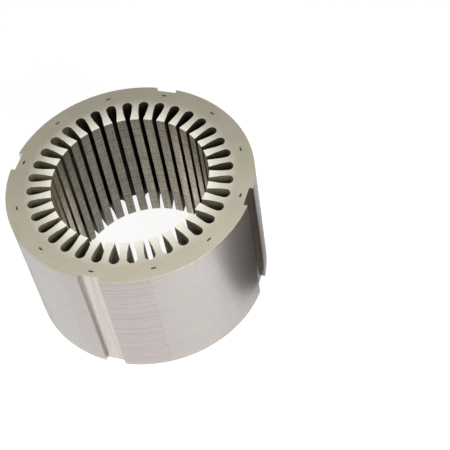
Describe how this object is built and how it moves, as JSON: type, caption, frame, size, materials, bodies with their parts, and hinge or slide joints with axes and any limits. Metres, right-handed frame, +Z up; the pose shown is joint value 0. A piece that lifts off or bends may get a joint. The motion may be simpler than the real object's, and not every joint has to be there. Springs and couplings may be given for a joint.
{
  "type": "generator stator core",
  "caption": "Round laminated steel stator core of a small hydroelectric generator, with semi-closed winding slots round its bore, notches down its outside and V-shaped interlocks.",
  "frame": {"origin": "centre of the core's lower face", "axes": "+Z up along the core's axis; +X through the middle of a slot, an outer notch and an interlock"},
  "size_m": [0.259, 0.259, 0.155],
  "materials": {
    "sheet_packet": "satin",
    "end_sheet": "satin"
  },
  "bodies": {
    "root": {"bottom_end_sheet": "end_sheet", "sheet_packet_01": "sheet_packet", "sheet_packet_02": "sheet_packet", "sheet_packet_03": "sheet_packet", "sheet_packet_04": "sheet_packet", "sheet_packet_05": "sheet_packet", "sheet_packet_06": "sheet_packet", "sheet_packet_07": "sheet_packet", "sheet_packet_08": "sheet_packet", "sheet_packet_09": "sheet_packet", "sheet_packet_10": "sheet_packet", "sheet_packet_11": "sheet_packet", "sheet_packet_12": "sheet_packet", "sheet_packet_13": "sheet_packet", "sheet_packet_14": "sheet_packet", "sheet_packet_15": "sheet_packet", "sheet_packet_16": "sheet_packet", "sheet_packet_17": "sheet_packet", "sheet_packet_18": "sheet_packet", "sheet_packet_19": "sheet_packet", "sheet_packet_20": "sheet_packet", "sheet_packet_21": "sheet_packet", "sheet_packet_22": "sheet_packet", "top_end_sheet": "end_sheet"}
  },
  "joints": []
}
